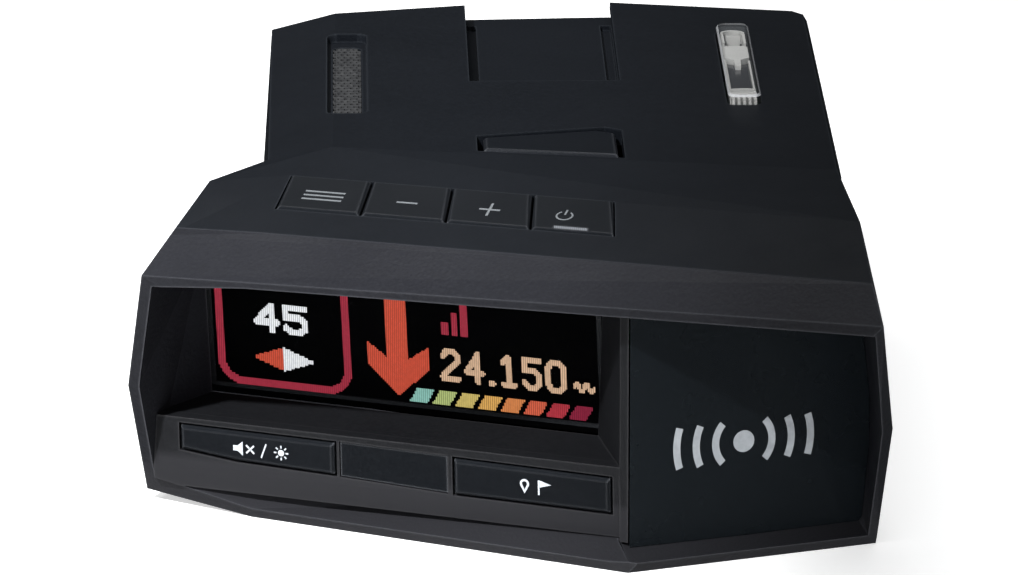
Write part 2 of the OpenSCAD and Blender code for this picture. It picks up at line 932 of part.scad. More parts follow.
upper_case();
lower_case();
front_bezel();
display_shroud();
side_panel();
display_window();
display_panel();
display_holder();
display_flex();
centre_plate();
mute_key();
mark_key();
front_key_board();
front_key_switches();
menu_key();
minus_key();
plus_key();
power_key();
power_light_bar();
top_key_board();
top_key_switches();
release_button();
release_latch();
release_spring();
spring_post();
speaker_mesh();
speaker_gasket();
speaker_driver();
laser_lens();
laser_sensor();
laser_board();
nose_window();
main_board();
shield_can();
forward_horn();
rearward_horn();
gps_antenna();
power_jack();
audio_jack();
usb_port();
case_screws();
board_screws();
rating_label();
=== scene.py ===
"""Looks of the windscreen radar detector: materials, display, icons, lens, mesh, light and camera.

Units are metres in the CAD frame. MM turns millimetres into metres.
"""

import math

import bmesh
import bpy
from mathutils import Matrix, Vector


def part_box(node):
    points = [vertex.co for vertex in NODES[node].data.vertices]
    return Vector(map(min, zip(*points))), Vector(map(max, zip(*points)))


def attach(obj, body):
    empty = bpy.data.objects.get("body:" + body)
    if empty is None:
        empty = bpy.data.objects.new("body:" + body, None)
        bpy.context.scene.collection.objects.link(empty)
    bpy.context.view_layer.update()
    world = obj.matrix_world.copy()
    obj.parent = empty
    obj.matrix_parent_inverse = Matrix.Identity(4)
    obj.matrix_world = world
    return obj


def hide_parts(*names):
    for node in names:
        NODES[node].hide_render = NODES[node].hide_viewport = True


MM = 0.001

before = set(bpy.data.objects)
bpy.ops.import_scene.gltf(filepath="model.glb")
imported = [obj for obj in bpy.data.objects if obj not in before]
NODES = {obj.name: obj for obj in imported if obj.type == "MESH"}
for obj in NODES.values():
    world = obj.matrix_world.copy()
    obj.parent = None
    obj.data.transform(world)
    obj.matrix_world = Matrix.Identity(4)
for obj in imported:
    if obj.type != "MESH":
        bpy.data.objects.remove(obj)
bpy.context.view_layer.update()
SCENE = bpy.context.scene


# ---------------------------------------------------------------- camera, stage and light

CAMERA_AT = Vector((-0.01672, -0.85106, 0.26956))
CAMERA_FORWARD = Vector((0.0201, 0.9586, -0.2840))
CAMERA_ROLL = -0.0001
SENSOR = 36
FOCAL = 286.6
FLOOR_HALF = 3


def make_camera():
    forward = CAMERA_FORWARD.normalized()
    right = Vector((forward.y, -forward.x, CAMERA_ROLL)).normalized()
    up = right.cross(forward).normalized()
    data = bpy.data.cameras.new("camera")
    data.sensor_width = SENSOR
    data.lens = FOCAL
    camera = bpy.data.objects.new("camera", data)
    camera.matrix_world = Matrix(
        (
            (right.x, up.x, -forward.x, CAMERA_AT.x),
            (right.y, up.y, -forward.y, CAMERA_AT.y),
            (right.z, up.z, -forward.z, CAMERA_AT.z),
            (0, 0, 0, 1),
        )
    )
    SCENE.collection.objects.link(camera)
    SCENE.camera = camera


def place_light(name, data, at, target, power, reflected):
    data.energy = power
    light = bpy.data.objects.new(name, data)
    light.location = at
    light.rotation_euler = (Vector(target) - Vector(at)).to_track_quat("-Z", "Y").to_euler()
    light.visible_glossy = reflected
    SCENE.collection.objects.link(light)


def area_light(name, at, target, size, power, reflected=False):
    data = bpy.data.lights.new(name, "AREA")
    data.shape = "RECTANGLE"
    data.size, data.size_y = size
    place_light(name, data, at, target, power, reflected)


def spot_light(name, at, target, radius, power):
    """A round pool of light of that radius at the target."""
    data = bpy.data.lights.new(name, "SPOT")
    reach = (Vector(target) - Vector(at)).length
    data.spot_size = 2 * math.atan(radius / reach)
    data.spot_blend = 0.06
    data.shadow_soft_size = 0.02
    place_light(name, data, at, target, power, False)


def make_lights():
    """Only the sheen box shows in reflections, which keeps the dark plastic near black."""
    world = bpy.data.worlds.new("studio")
    world.use_nodes = True
    back = world.node_tree.nodes["Background"]
    back.inputs["Color"].default_value = (0.85, 0.93, 1, 1)
    back.inputs["Strength"].default_value = 0.03
    SCENE.world = world
    area_light("top_box", (0, 0, 1.0), (0, 0, 0), (0.9, 0.9), 6)
    spot_light("left_spot", (-0.33, -0.56, 0.66), (-0.17, -0.02, 0.02), 0.185, 58)
    area_light("front_box", (0, -1.2, 0.3), (0, 0, 0.01), (0.8, 0.5), 3.2)
    area_light("low_box", (-0.5, -0.8, 0.1), (0, -0.03, 0.01), (0.4, 0.15), 1.6)
    area_light("sheen_box", (-0.3, 0.5, 1.1), (0, 0, 0), (0.5, 0.4), 1.1, reflected=True)


def make_floor():
    mesh = bpy.data.meshes.new("floor")
    half = FLOOR_HALF
    mesh.from_pydata(
        [(-half, -half, 0), (half, -half, 0), (half, half, 0), (-half, half, 0)], [], [(0, 1, 2, 3)]
    )
    floor = bpy.data.objects.new("floor", mesh)
    SCENE.collection.objects.link(floor)
    paint = Paint("pale_floor", (0.93, 0.93, 0.93), 0.9)
    paint.tint((0.9, 0.9, 0.9), (0.96, 0.96, 0.96), 3)
    paint.set("Emission Color", (1, 1, 1, 1))
    paint.set("Emission Strength", 0.55)
    mesh.materials.append(paint.material)
    floor.visible_glossy = False


# ---------------------------------------------------------------- materials

# Millimetres from one display pixel to the next, and how brightly the pixels glow
PIXEL = 0.2
GLOW = 1.25
# Degrees by which the display and its keys are turned to the left, seen from above
FACE_TURN = 22
# Metres over which an edge gets its painted highlight
EDGE_HIGHLIGHT_RADIUS = 0.00035


class Paint:
    """A procedural material. Noise scales are features per metre in the object's own frame."""

    def __init__(self, name, colour, roughness, **finish):
        self.material = bpy.data.materials.new(name)
        self.material.use_nodes = True
        self.tree = self.material.node_tree
        self.surface = self.tree.nodes["Principled BSDF"]
        self.set("Base Color", (*colour, 1))
        self.set("Roughness", roughness)
        for socket, value in finish.items():
            self.set(socket.replace("_", " ").title().replace("Ior", "IOR"), value)
        self.place = self.node("ShaderNodeTexCoord").outputs["Object"]
        self.colour = None

    def set(self, socket, value):
        self.surface.inputs[socket].default_value = value

    def node(self, kind, **values):
        made = self.tree.nodes.new(kind)
        for name, value in values.items():
            setattr(made, name, value)
        return made

    def link(self, a, b):
        self.tree.links.new(a, b)

    def noise(self, scale, detail=2.0):
        texture = self.node("ShaderNodeTexNoise")
        texture.inputs["Scale"].default_value = scale
        texture.inputs["Detail"].default_value = detail
        self.link(self.place, texture.inputs["Vector"])
        return texture.outputs["Fac"]

    def stripes(self, pitch, turn):
        """Stripes of that pitch across X, in a frame turned about Z."""
        mapping = self.node("ShaderNodeMapping")
        mapping.inputs["Rotation"].default_value = (0, 0, math.radians(turn))
        mapping.inputs["Scale"].default_value = (2 * math.pi / pitch, 1, 1)
        self.link(self.place, mapping.inputs["Vector"])
        across = self.node("ShaderNodeSeparateXYZ")
        self.link(mapping.outputs["Vector"], across.inputs["Vector"])
        wave = self.node("ShaderNodeMath", operation="SINE")
        self.link(across.outputs["X"], wave.inputs[0])
        return self.spread(wave.outputs["Value"], 0, 1, -0.9, 0.2)

    def spread(self, source, low, high, near=0.3, far=0.7):
        """Carries a noise from near..far to low..high."""
        spread = self.node("ShaderNodeMapRange")
        for name, value in zip(("From Min", "From Max", "To Min", "To Max"), (near, far, low, high)):
            spread.inputs[name].default_value = value
        self.link(source, spread.inputs["Value"])
        return spread.outputs["Result"]

    def blend(self, factor, a, b):
        ramp = self.node("ShaderNodeMix", data_type="RGBA")
        self.link(factor, ramp.inputs["Factor"])
        for socket, value in (("A", a), ("B", b)):
            target = [s for s in ramp.inputs if s.name == socket and s.type == "RGBA"][0]
            if isinstance(value, tuple):
                target.default_value = (*value, 1)
            else:
                self.link(value, target)
        return [s for s in ramp.outputs if s.type == "RGBA"][0]

    def paint_over(self, mask, colour):
        """Lays another colour over the colour so far, as far as the mask says."""
        self.colour = self.blend(mask, self.colour, colour)
        self.link(self.colour, self.surface.inputs["Base Color"])
        return self

    def tint(self, dark, light, scale, detail=3.0):
        """Colour that wanders between dark and light."""
        mask = self.spread(self.noise(scale, detail), 0, 1)
        self.colour = dark
        return self.paint_over(mask, light)

    def speckle(self, colour, scale):
        """Fine lighter specks over the colour so far."""
        mask = self.spread(self.noise(scale, 1), 0, 0.5, 0.35, 0.75)
        return self.paint_over(mask, colour)

    def painted_light_below(self, colour, top, bottom):
        """Painted light: the colour drifts to another, lighter one between two heights in metres, standing
        in for light on low front faces.
        """
        height = self.node("ShaderNodeSeparateXYZ")
        self.link(self.place, height.inputs["Vector"])
        mask = self.spread(height.outputs["Z"], 1, 0, bottom, top)
        return self.paint_over(mask, colour)

    def gloss(self, low, high, scale):
        """Roughness that wanders between low and high."""
        self.link(self.spread(self.noise(scale, 3), low, high), self.surface.inputs["Roughness"])
        return self

    def grain(self, scale, depth):
        """Fine relief of that depth."""
        bump = self.node("ShaderNodeBump")
        bump.inputs["Distance"].default_value = depth
        bump.inputs["Strength"].default_value = 1
        self.link(self.noise(scale, 1.0), bump.inputs["Height"])
        self.link(bump.outputs["Normal"], self.surface.inputs["Normal"])
        return self

    def painted_edge_highlights(self, colour, radius):
        """Painted highlight: lightens the edges, where the rounded normal leaves the true one."""
        round_normal = self.node("ShaderNodeBevel", samples=4)
        round_normal.inputs["Radius"].default_value = radius
        true_normal = self.node("ShaderNodeNewGeometry").outputs["True Normal"]
        dot = self.node("ShaderNodeVectorMath", operation="DOT_PRODUCT")
        self.link(round_normal.outputs["Normal"], dot.inputs[0])
        self.link(true_normal, dot.inputs[1])
        mask = self.spread(dot.outputs["Value"], 1, 0, 0.8, 1.0)
        return self.paint_over(mask, colour)


def moulded(name, dark, light, rough, grain=2600, depth=0.00001, edge=None, low=None):
    """Moulded plastic with a fine grain, a slow colour drift and slightly lighter edges, which are painted
    highlights.

    low = (colour, top, bottom) is a lighter tone painted low down, between those heights, standing in for
    light on low front faces.
    """
    paint = Paint(name, dark, rough[0])
    paint.tint(dark, light, 55)
    paint.speckle(tuple(1.6 * c for c in light), 3200)
    paint.gloss(rough[0], rough[1], 140)
    # Painted light: a lighter tone low down, for light on the low front faces.
    if low is not None:
        paint.painted_light_below(*low)
    # Painted highlight along the edges.
    if edge is not None:
        paint.painted_edge_highlights(edge, EDGE_HIGHLIGHT_RADIUS)
    paint.grain(grain, depth)
    return paint.material


def metal(name, dark, light, rough):
    paint = Paint(name, dark, rough[0], metallic=1.0)
    paint.tint(dark, light, 300)
    paint.gloss(rough[0], rough[1], 700)
    paint.grain(4000, 0.000004)
    return paint.material


def board(name):
    """Green solder mask with a slow drift between two greens."""
    paint = Paint(name, (0.01, 0.09, 0.03), 0.35)
    paint.tint((0.008, 0.07, 0.025), (0.02, 0.16, 0.06), 900, 0)
    paint.gloss(0.25, 0.45, 400)
    paint.grain(1200, 0.00003)
    return paint.material


def clear_plastic(name, colour, roughness, alpha):
    paint = Paint(name, colour, roughness, alpha=alpha, ior=1.49)
    paint.tint(colour, tuple(0.9 * c for c in colour), 500)
    paint.gloss(roughness, roughness + 0.06, 500)
    paint.grain(900, 0.000008)
    return paint.material


def srgb(code):
    """Linear colour from a hex code such as d75541."""
    parts = [int(code[i:i + 2], 16) / 255 for i in (0, 2, 4)]
    return tuple(c / 12.92 if c < 0.04045 else ((c + 0.055) / 1.055) ** 2.4 for c in parts)


def lit(name, colour, strength):
    """A glowing colour that varies a little from pixel to pixel."""
    paint = Paint(name, tuple(0.05 * c for c in colour), 0.5)
    paint.set("Emission Strength", strength)
    paint.tint(tuple(0.04 * c for c in colour), tuple(0.06 * c for c in colour), 800)
    mask = paint.spread(paint.noise(2500, 2), 0, 1)
    glow = paint.blend(mask, tuple(0.86 * c for c in colour), tuple(min(1, 1.08 * c) for c in colour))
    glow = paint.blend(paint.stripes(PIXEL * MM, FACE_TURN), tuple(0.45 * c for c in colour), glow)
    paint.link(glow, paint.surface.inputs["Emission Color"])
    return paint.material


# ---------------------------------------------------------------- local frames and meshes


class Local:
    """A turned and leaned frame, with the box of one CAD node measured along its axes."""

    def __init__(self, node, turn, lean):
        turned = Matrix.Rotation(-math.radians(turn), 4, "Z")
        self.axes = turned @ Matrix.Rotation(math.radians(lean), 4, "X")
        back = self.axes.inverted()
        points = [back @ v.co for v in NODES[node].data.vertices]
        self.low = Vector([min(p[k] for p in points) for k in range(3)])
        self.high = Vector([max(p[k] for p in points) for k in range(3)])
        self.mid = (self.low + self.high) / 2

    def upright(self, x, y, z):
        """Matrix that stands a drawing in its XY plane up at a local point, facing forward."""
        stand = Matrix.Rotation(math.radians(90), 4, "X")
        return self.axes @ Matrix.Translation((x, y, z)) @ stand

    def flat(self, x, y, z):
        """Matrix that lays a drawing in its XY plane at a local point, facing out."""
        return self.axes @ Matrix.Translation((x, y, z))


def finish_mesh(name, mesh_builder, material, body):
    mesh = bpy.data.meshes.new(name)
    bmesh.ops.recalc_face_normals(mesh_builder, faces=mesh_builder.faces)
    mesh_builder.to_mesh(mesh)
    mesh_builder.free()
    mesh.materials.append(material)
    piece = bpy.data.objects.new(name, mesh)
    SCENE.collection.objects.link(piece)
    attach(piece, body)
    return piece


def add_prism(builder, outline, z0, z1, matrix):
    """Adds a closed prism over a 2-D outline."""
    low = [builder.verts.new(matrix @ Vector((x, y, z0))) for x, y in outline]
    high = [builder.verts.new(matrix @ Vector((x, y, z1))) for x, y in outline]
    builder.faces.new(low[::-1])
    builder.faces.new(high)
    count = len(outline)
    for i in range(count):
        j = (i + 1) % count
        builder.faces.new((low[i], low[j], high[j], high[i]))


def drawing(name, outlines, thick, matrix, material, body):
    """Flat marks of real thickness, lying on a surface."""
    builder = bmesh.new()
    for outline in outlines:
        add_prism(builder, outline, -0.2 * thick, thick, matrix)
    return finish_mesh(name, builder, material, body)


def bar(x0, x1, y0, y1):
    return [(x0, y0), (x1, y0), (x1, y1), (x0, y1)]


def stroke(a, b, w):
    """A straight stroke of width w from a to b."""
    a, b = Vector(a), Vector(b)
    side = (b - a).normalized().orthogonal() * w / 2
    return [tuple(p) for p in (a - side, b - side, b + side, a + side)]


def arc_band(centre, radius, w, start, end, steps=20):
    """A band along an arc, from start to end in degrees."""
    angles = [math.radians(start + (end - start) * i / steps) for i in range(steps + 1)]
    outer = [(centre[0] + (radius + w / 2) * math.cos(a), centre[1] + (radius + w / 2) * math.sin(a))
             for a in angles]
    inner = [(centre[0] + (radius - w / 2) * math.cos(a), centre[1] + (radius - w / 2) * math.sin(a))
             for a in reversed(angles)]
    return outer + inner


def disc(centre, radius, steps=20):
    return [
        (
            centre[0] + radius * math.cos(2 * math.pi * i / steps),
            centre[1] + radius * math.sin(2 * math.pi * i / steps),
        )
        for i in range(steps)
    ]


# ---------------------------------------------------------------- CAD nodes: edges and finishes


def round_edges(node, width):
    """Rounds a CAD node's sharp edges with modifiers, leaving its mesh as it is."""
    piece = NODES[node]
    weld = piece.modifiers.new("weld", "WELD")
    weld.merge_threshold = 0.000002
    plane = piece.modifiers.new("planes", "DECIMATE")
    plane.decimate_type = "DISSOLVE"
    plane.angle_limit = math.radians(0.8)
    bevel = piece.modifiers.new("edges", "BEVEL")
    bevel.width = width
    bevel.segments = 2
    bevel.limit_method = "ANGLE"
    bevel.angle_limit = math.radians(24)
    bevel.harden_normals = True


def dress(material, *nodes):
    for name in nodes:
        slots = NODES[name].data.materials
        if len(slots) == 0:
            slots.append(material)
        for i in range(len(slots)):
            slots[i] = material


def dress_nodes():
    # The edge colours below are painted highlights along the rounded edges.
    deck = moulded("deck_plastic", (0.0048, 0.0058, 0.0078), (0.0062, 0.0074, 0.0098), (0.5, 0.6),
                   edge=(0.02, 0.023, 0.028))
    key_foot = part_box("mute_key")[0][2]
    # Painted light: a lighter tone below the foot of the front keys stands in for light on the low front
    # faces.
    hood = moulded("hood_plastic", (0.0098, 0.0102, 0.013), (0.013, 0.0136, 0.017), (0.45, 0.55),
                   low=((0.021, 0.0212, 0.0245), key_foot, key_foot - 0.003),
                   grain=2200, depth=0.00005, edge=(0.05, 0.052, 0.06))
    satin = moulded("key_plastic", (0.0042, 0.0052, 0.0068), (0.0056, 0.0066, 0.0084), (0.3, 0.4),
                    grain=3000, depth=0.000005, edge=(0.09, 0.095, 0.105))
    # Painted light: the same lighter tone below the front keys as on the hood.
    recess = moulded("recess_plastic", (0.008, 0.0084, 0.0098), (0.0105, 0.011, 0.0125), (0.42, 0.52),
                     low=((0.019, 0.0192, 0.0222), key_foot + 0.0006, key_foot - 0.0004),
                     edge=(0.03, 0.03, 0.033))
    panel = moulded("panel_plastic", (0.006, 0.008, 0.01), (0.0072, 0.0094, 0.0115), (0.22, 0.3),
                    grain=1500, depth=0.000003)
    inner = moulded("inner_plastic", (0.02, 0.022, 0.025), (0.03, 0.032, 0.036), (0.5, 0.6))
    foam = moulded("foam", (0.006, 0.006, 0.006), (0.014, 0.014, 0.014), (0.85, 0.95),
                   grain=1800, depth=0.0001)
    steel = metal("steel", (0.45, 0.46, 0.48), (0.6, 0.61, 0.63), (0.25, 0.4))
    black_screw = metal("black_steel", (0.06, 0.062, 0.066), (0.1, 0.1, 0.11), (0.3, 0.45))
    cast = metal("cast_metal", (0.36, 0.37, 0.39), (0.5, 0.51, 0.53), (0.35, 0.5))
    smoke = Paint("smoked_window", (0.002, 0.002, 0.0025), 0.08, alpha=0.12, specular_ior_level=0.2)
    smoke.tint((0.0015, 0.0015, 0.002), (0.003, 0.003, 0.0035), 80)
    smoke.gloss(0.05, 0.1, 200)
    pixels_off = Paint("unlit_pixels", (0.0008, 0.0008, 0.001), 0.4, specular_ior_level=0.1)
    pixels_off.tint((0.0006, 0.0006, 0.0008), (0.0012, 0.0012, 0.0014), 300)
    copper = moulded("flex_film", (0.28, 0.12, 0.03), (0.42, 0.2, 0.06), (0.3, 0.4), grain=900)
    ceramic = moulded("ceramic", (0.5, 0.42, 0.28), (0.62, 0.54, 0.38), (0.4, 0.55), grain=1500)
    label = moulded("label_film", (0.5, 0.51, 0.52), (0.58, 0.59, 0.6), (0.35, 0.45), grain=1200)
    infra = Paint("infrared_window", (0.02, 0.004, 0.008), 0.1)
    infra.tint((0.014, 0.003, 0.006), (0.026, 0.006, 0.01), 60)
    infra.gloss(0.06, 0.14, 150)
    glow = lit("key_light", (0.8, 0.85, 0.95), 0.3)

    dress(deck, "upper_case", "lower_case")
    dress(hood, "front_bezel")
    dress(recess, "display_shroud")
    dress(panel, "side_panel")
    dress(satin, "centre_plate", "mute_key", "mark_key", "menu_key", "minus_key", "plus_key", "power_key")
    dress(moulded("button_plastic", (0.0048, 0.0058, 0.0078), (0.006, 0.0072, 0.0095), (0.4, 0.5),
                  edge=(0.13, 0.135, 0.15)), "release_button")
    dress(smoke.material, "display_window")
    dress(pixels_off.material, "display_panel")
    dress(inner, "display_holder", "release_latch", "spring_post")
    dress(copper, "display_flex")
    dress(board("green_board"), "front_key_board", "top_key_board", "laser_board", "main_board")
    dress(steel, "front_key_switches", "top_key_switches", "release_spring", "shield_can",
          "usb_port", "board_screws")
    dress(black_screw, "case_screws")
    dress(cast, "forward_horn", "rearward_horn")
    dress(foam, "speaker_gasket")
    dress(metal("driver_metal", (0.006, 0.006, 0.007), (0.012, 0.012, 0.013), (0.5, 0.6)), "speaker_driver")
    dress(moulded("sensor_resin", (0.01, 0.006, 0.014), (0.016, 0.01, 0.02), (0.12, 0.2)),
          "laser_sensor")
    dress(infra.material, "nose_window")
    dress(ceramic, "gps_antenna")
    dress(recess, "power_jack", "audio_jack")
    dress(label, "rating_label")
    dress(glow, "power_light_bar")

    for node, width in {
        "upper_case": 0.0002, "lower_case": 0.0002, "front_bezel": 0.00022,
        "display_shroud": 0.0001, "side_panel": 0.0001, "centre_plate": 0.0001,
        "release_button": 0.00012, "shield_can": 0.0003, "gps_antenna": 0.0002,
        "nose_window": 0.00015, "power_jack": 0.0001, "usb_port": 0.0001,
        "speaker_driver": 0.0003, "release_latch": 0.0002,
    }.items():
        round_edges(node, width)
    for node in ("mute_key", "mark_key", "menu_key", "minus_key", "plus_key", "power_key"):
        round_edges(node, 0.00009)


# ---------------------------------------------------------------- display

DISPLAY_LEAN = 7

# Strokes of each digit on a grid 4 wide and 6 high
STROKES = {
    "0": [[(0, 1), (0, 5), (1, 6), (3, 6), (4, 5), (4, 1), (3, 0), (1, 0), (0, 1)]],
    "1": [[(0.8, 5), (2.2, 6), (2.2, 0)], [(0.8, 0), (3.6, 0)]],
    "2": [[(0, 5), (1, 6), (3, 6), (4, 5), (4, 4), (0, 0.6), (0, 0), (4, 0)]],
    "4": [[(3, 0), (3, 6), (0, 2), (4, 2)]],
    "5": [[(4, 6), (0, 6), (0, 3.6), (3, 3.6), (4, 2.8), (4, 1), (3, 0), (1, 0), (0, 1)]],
    ".": [[(0, 0), (0.4, 0)]],
}


def near_path(path, x, z, w):
    """True within w / 2 of a path of straight strokes."""
    for (ax, az), (bx, bz) in zip(path, path[1:]):
        length = (bx - ax) ** 2 + (bz - az) ** 2
        t = max(0, min(1, ((x - ax) * (bx - ax) + (z - az) * (bz - az)) / length))
        if math.hypot(x - ax - t * (bx - ax), z - az - t * (bz - az)) < w / 2:
            return True
    return False


def in_outline(outline, x, z):
    inside = False
    for (ax, az), (bx, bz) in zip(outline, outline[1:] + outline[:1]):
        if (az > z) != (bz > z) and x < ax + (z - az) / (bz - az) * (bx - ax):
            inside = not inside
    return inside


def in_round_box(x, z, x0, x1, z0, radius):
    """Inside a box that is open at the top and has rounded lower corners."""
    if not (x0 < x < x1 and z > z0):
        return False
    dx = max(x0 + radius - x, x - x1 + radius, 0)
    dz = max(z0 + radius - z, 0)
    return math.hypot(dx, dz) < radius


class Screen:
    """Draws pixels just in front of the display panel. Places are millimetres on the panel."""

    DEPTH = 0.12

    def __init__(self):
        self.local = Local("display_panel", FACE_TURN, DISPLAY_LEAN)
        low = self.local.low
        self.place = self.local.upright(low.x, low.y - 0.02 * MM, low.z)
        self.size = (self.local.high - low) / MM

    def draw(self, name, test, x0, x1, z0, z1, material):
        """Lights each pixel in a region whose middle passes the test, row by row in runs."""
        builder = bmesh.new()
        columns = range(round(x0 / PIXEL), round(x1 / PIXEL))
        for row in range(round(z0 / PIXEL), min(round(z1 / PIXEL), int(self.size.z / PIXEL))):
            z = (row + 0.5) * PIXEL
            start = None
            for column in list(columns) + [columns[-1] + 1]:
                on = column <= columns[-1] and test((column + 0.5) * PIXEL, z)
                if on and start is None:
                    start = column
                if not on and start is not None:
                    run = bar(start * PIXEL, column * PIXEL, row * PIXEL, (row + 1) * PIXEL)
                    outline = [(x * MM, y * MM) for x, y in run]
                    add_prism(builder, outline, 0, self.DEPTH * MM, self.place)
                    start = None
        piece = finish_mesh(name, builder, material, "case")
        piece.visible_glossy = False

    def digits(self, name, text, x, z, size, advance, w, material):
        """A number whose digits are size = (width, height) between stroke centres."""
        paths = []
        for letter in text:
            for path in STROKES[letter]:
                paths.append([(x + px / 4 * size[0], z + pz / 6 * size[1]) for px, pz in path])
            x += advance if letter != "." else 0.4 * advance

        def test(px, pz):
            return any(near_path(path, px, pz, w) for path in paths)

        self.draw(name, test, paths[0][0][0] - 2, x + 1, z - 1, z + size[1] + 1, material)


def make_display():
    screen = Screen()
    dark_red = lit("lit_dark_red", srgb("a83446"), GLOW)
    orange_red = lit("lit_orange_red", srgb("d2553f"), GLOW)
    white = lit("lit_white", srgb("f4f8ff"), GLOW)
    beige = lit("lit_beige", srgb("ddb898"), GLOW)

    screen.draw("heading_frame",
                lambda x, z: in_round_box(x, z, 0.4, 15.8, 0, 2.8)
                and not in_round_box(x, z, 1.2, 15, 0.8, 2),
                0, 17, 0, 17, dark_red)
    screen.digits("heading_number", "45", 5.2, 6.7, (2.2, 2.8), 3.3, 0.7, white)
    pointer = (8.1, 3.4, 3.6, 1.35)

    def in_pointer(x, z):
        return abs(x - pointer[0]) / pointer[2] + abs(z - pointer[1]) / pointer[3] < 1

    screen.draw("pointer_left", lambda x, z: x < pointer[0] and in_pointer(x, z), 4, 13, 1, 6, orange_red)
    screen.draw("pointer_right", lambda x, z: x >= pointer[0] and in_pointer(x, z), 4, 13, 1, 6, white)

    arrow = [(20, 17), (20, 5.0), (17.9, 6.6), (17.9, 4), (21.2, 0.8), (24.9, 4.1), (24.9, 6.7),
             (22.5, 5.0), (22.5, 17)]
    screen.draw("alert_arrow", lambda x, z: in_outline(arrow, x, z), 17, 26, 0, 17, orange_red)
    steps = [bar(26.5 + k * 1.05, 27.25 + k * 1.05, 8.4, 9.8 + 1.2 * k) for k in range(3)]
    screen.draw("signal_steps", lambda x, z: any(in_outline(s, x, z) for s in steps),
                26, 30, 8, 13, dark_red)
    screen.digits("reading", "24.150", 26.4, 3.35, (1.7, 3.1), 2.72, 0.6, beige)
    wave = [(41.3 + 0.12 * k, 4 + 0.5 * math.sin(2 * math.pi * k / 9)) for k in range(19)]
    screen.draw("reading_unit", lambda x, z: near_path(wave, x, z, 0.36), 41, 44, 3, 5.4, beige)

    ramp = ["8fc6ba", "b3c27c", "d6c070", "e0ac5e", "de8a52", "d8644a", "b83a46", "8e2840"]
    for k, code in enumerate(ramp):
        x = 22.5 + 2.58 * k
        slab = [(x, 0.3), (x + 1.9, 0.3), (x + 2.8, 1.9), (x + 0.9, 1.9)]
        screen.draw(f"level_{k + 1}", lambda px, pz: in_outline(slab, px, pz),
                    x - 1, min(x + 4, 44), 0, 2.4, lit(f"lit_level_{k + 1}", srgb(code), GLOW))


# ---------------------------------------------------------------- printed marks

HOOD_TURN = 17.8
FACET_TILT = math.degrees(math.atan(2.9 / 11.5))
FACE_LEAN = 3
PANEL_TURN = -20
INK = 0.02


def in_metres(outlines):
    return [[(x * MM, y * MM) for x, y in o] for o in outlines]


def mirrored(outlines):
    return [[(-x, y) for x, y in reversed(o)] for o in outlines]


def key_icon(node, outlines, material, dx=0.0):
    """Prints marks on a top key, a little in front of its middle."""
    local = Local(node, HOOD_TURN, FACET_TILT)
    place = local.flat(local.mid.x + dx * MM, local.mid.y - 0.5 * MM, local.high.z)
    drawing(node.replace("_key", "_mark"), in_metres(outlines), INK * MM, place, material, node)


def face_icon(name, node, outlines, x, material):
    """Prints marks on a front key at x millimetres from its left end."""
    local = Local(node, FACE_TURN, FACE_LEAN)
    place = local.upright(local.low.x + x * MM, local.low.y, local.mid.z)
    drawing(name, in_metres(outlines), INK * MM, place, material, node)


def speaker_icon():
    """A loudspeaker crossed out."""
    horn = [(-1.1, -0.3), (-0.6, -0.3), (0, -0.8), (0, 0.8), (-0.6, 0.3), (-1.1, 0.3)]
    return [horn, stroke((0.4, -0.45), (1.3, 0.45), 0.2), stroke((0.4, 0.45), (0.75, 0.1), 0.2),
            stroke((0.95, -0.1), (1.3, -0.45), 0.2)]


def sun_icon():
    rays = []
    for k in range(8):
        angle = math.radians(45 * k)
        way = Vector((math.cos(angle), math.sin(angle)))
        rays.append(stroke(way * 0.52, way * 0.82, 0.16))
    return [disc((0, 0), 0.36)] + rays


def pin_icon():
    """A map pin with a round hole."""
    ring = arc_band((0, 0.25), 0.4, 0.24, -25, 205)
    point = [(-0.47, 0.03), (-0.25, 0.13), (0, -0.4), (0.25, 0.13), (0.47, 0.03), (0, -0.85)]
    return [ring, point]


def ink(name, dark, light):
    paint = Paint(name, dark, 0.5)
    paint.tint(dark, light, 1500)
    return paint.material


def make_marks():
    grey = ink("grey_ink", srgb("666a6e"), srgb("727679"))
    silver = ink("silver_ink", srgb("989da2"), srgb("a8adb2"))
    white = ink("white_ink", srgb("aab0b6"), srgb("b8bec4"))

    key_icon("menu_key", [bar(-2.2, 2.2, y - 0.14, y + 0.14) for y in (-0.8, 0, 0.8)], grey)
    key_icon("minus_key", [bar(-1.15, 1.15, -0.14, 0.14)], grey)
    key_icon("plus_key", [bar(-1.15, 1.15, -0.14, 0.14), bar(-0.13, 0.13, 0.14, 1.3),
                          bar(-0.13, 0.13, -1.3, -0.14)], grey)
    key_icon("power_key", [arc_band((0, 0), 0.85, 0.2, 125, 415), bar(-0.1, 0.1, 0.2, 1.2)], grey,
             dx=-0.9)

    face_icon("mute_mark", "mute_key", speaker_icon(), 7.2, white)
    face_icon("mute_slash", "mute_key", [stroke((-0.3, -0.8), (0.3, 0.8), 0.16)], 9.6, white)
    face_icon("dim_mark", "mute_key", sun_icon(), 11.6, white)
    face_icon("pin_mark", "mark_key", pin_icon(), 8.0, white)
    face_icon("flag_mark", "mark_key", [bar(-0.7, -0.52, -0.85, 0.8),
                                        [(-0.5, 0), (0.8, 0.4), (-0.5, 0.8)]], 10.2, white)

    panel = Local("side_panel", PANEL_TURN, 0)
    waves = [arc_band((0, 0), r, 0.8, -a, a) for r, a in ((3.2, 42), (5.4, 24), (7.6, 17))]
    mark = [disc((0, 0), 1.2)] + waves + mirrored(waves)
    place = panel.upright(panel.low.x + 12.9 * MM, panel.low.y, panel.low.z + 10.4 * MM)
    drawing("panel_mark", in_metres(mark), INK * MM, place, silver, "case")


# ---------------------------------------------------------------- speaker mesh


